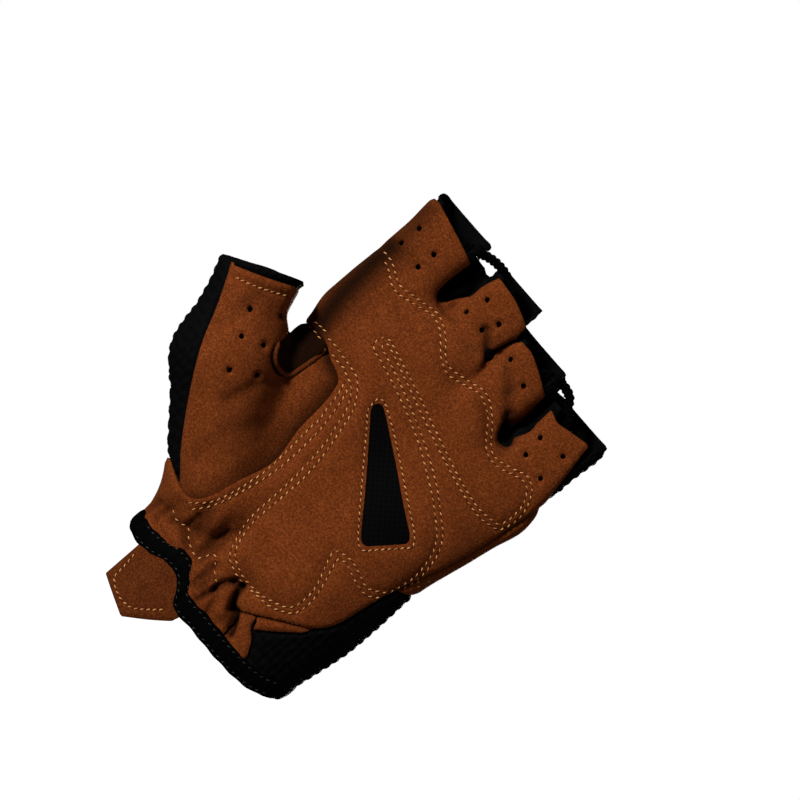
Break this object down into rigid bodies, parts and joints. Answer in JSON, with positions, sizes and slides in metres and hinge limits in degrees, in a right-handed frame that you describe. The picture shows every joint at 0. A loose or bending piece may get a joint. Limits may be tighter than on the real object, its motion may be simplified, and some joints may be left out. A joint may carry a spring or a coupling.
{
  "type": "cycling glove",
  "caption": "Half-finger cycling glove for the left hand: suede palm with a triangular mesh vent, open knit back, bound cuff, pull tab and braided cords between the fingers.",
  "frame": {"origin": "middle of the cuff, where the wrist goes in; it is the point of the mount hand_entry", "axes": "+Z along the fingers, palm side faces -Y, +X towards the little finger"},
  "size_m": [0.1239, 0.0513, 0.1588],
  "materials": {
    "suede": "napped, matt",
    "knit": "matt cotton knit",
    "mesh": "perforated sheet, matt",
    "tape": "woven tape and braid, slight sheen"
  },
  "bodies": {
    "root": {"palm_panel": "suede", "web_gusset": "suede", "thumb_panel": "suede", "side_strip": "suede", "heel_strip": "suede", "wrist_flap": "suede", "crotch_piping": "suede", "pull_tab": "suede", "index_sleeve": "knit", "middle_sleeve": "knit", "ring_sleeve": "knit", "little_sleeve": "knit", "thumb_back": "knit", "hand_back": "knit", "vent_mesh": "mesh", "cuff_binding": "tape", "index_cord": "tape", "little_cord": "tape"}
  },
  "joints": []
}
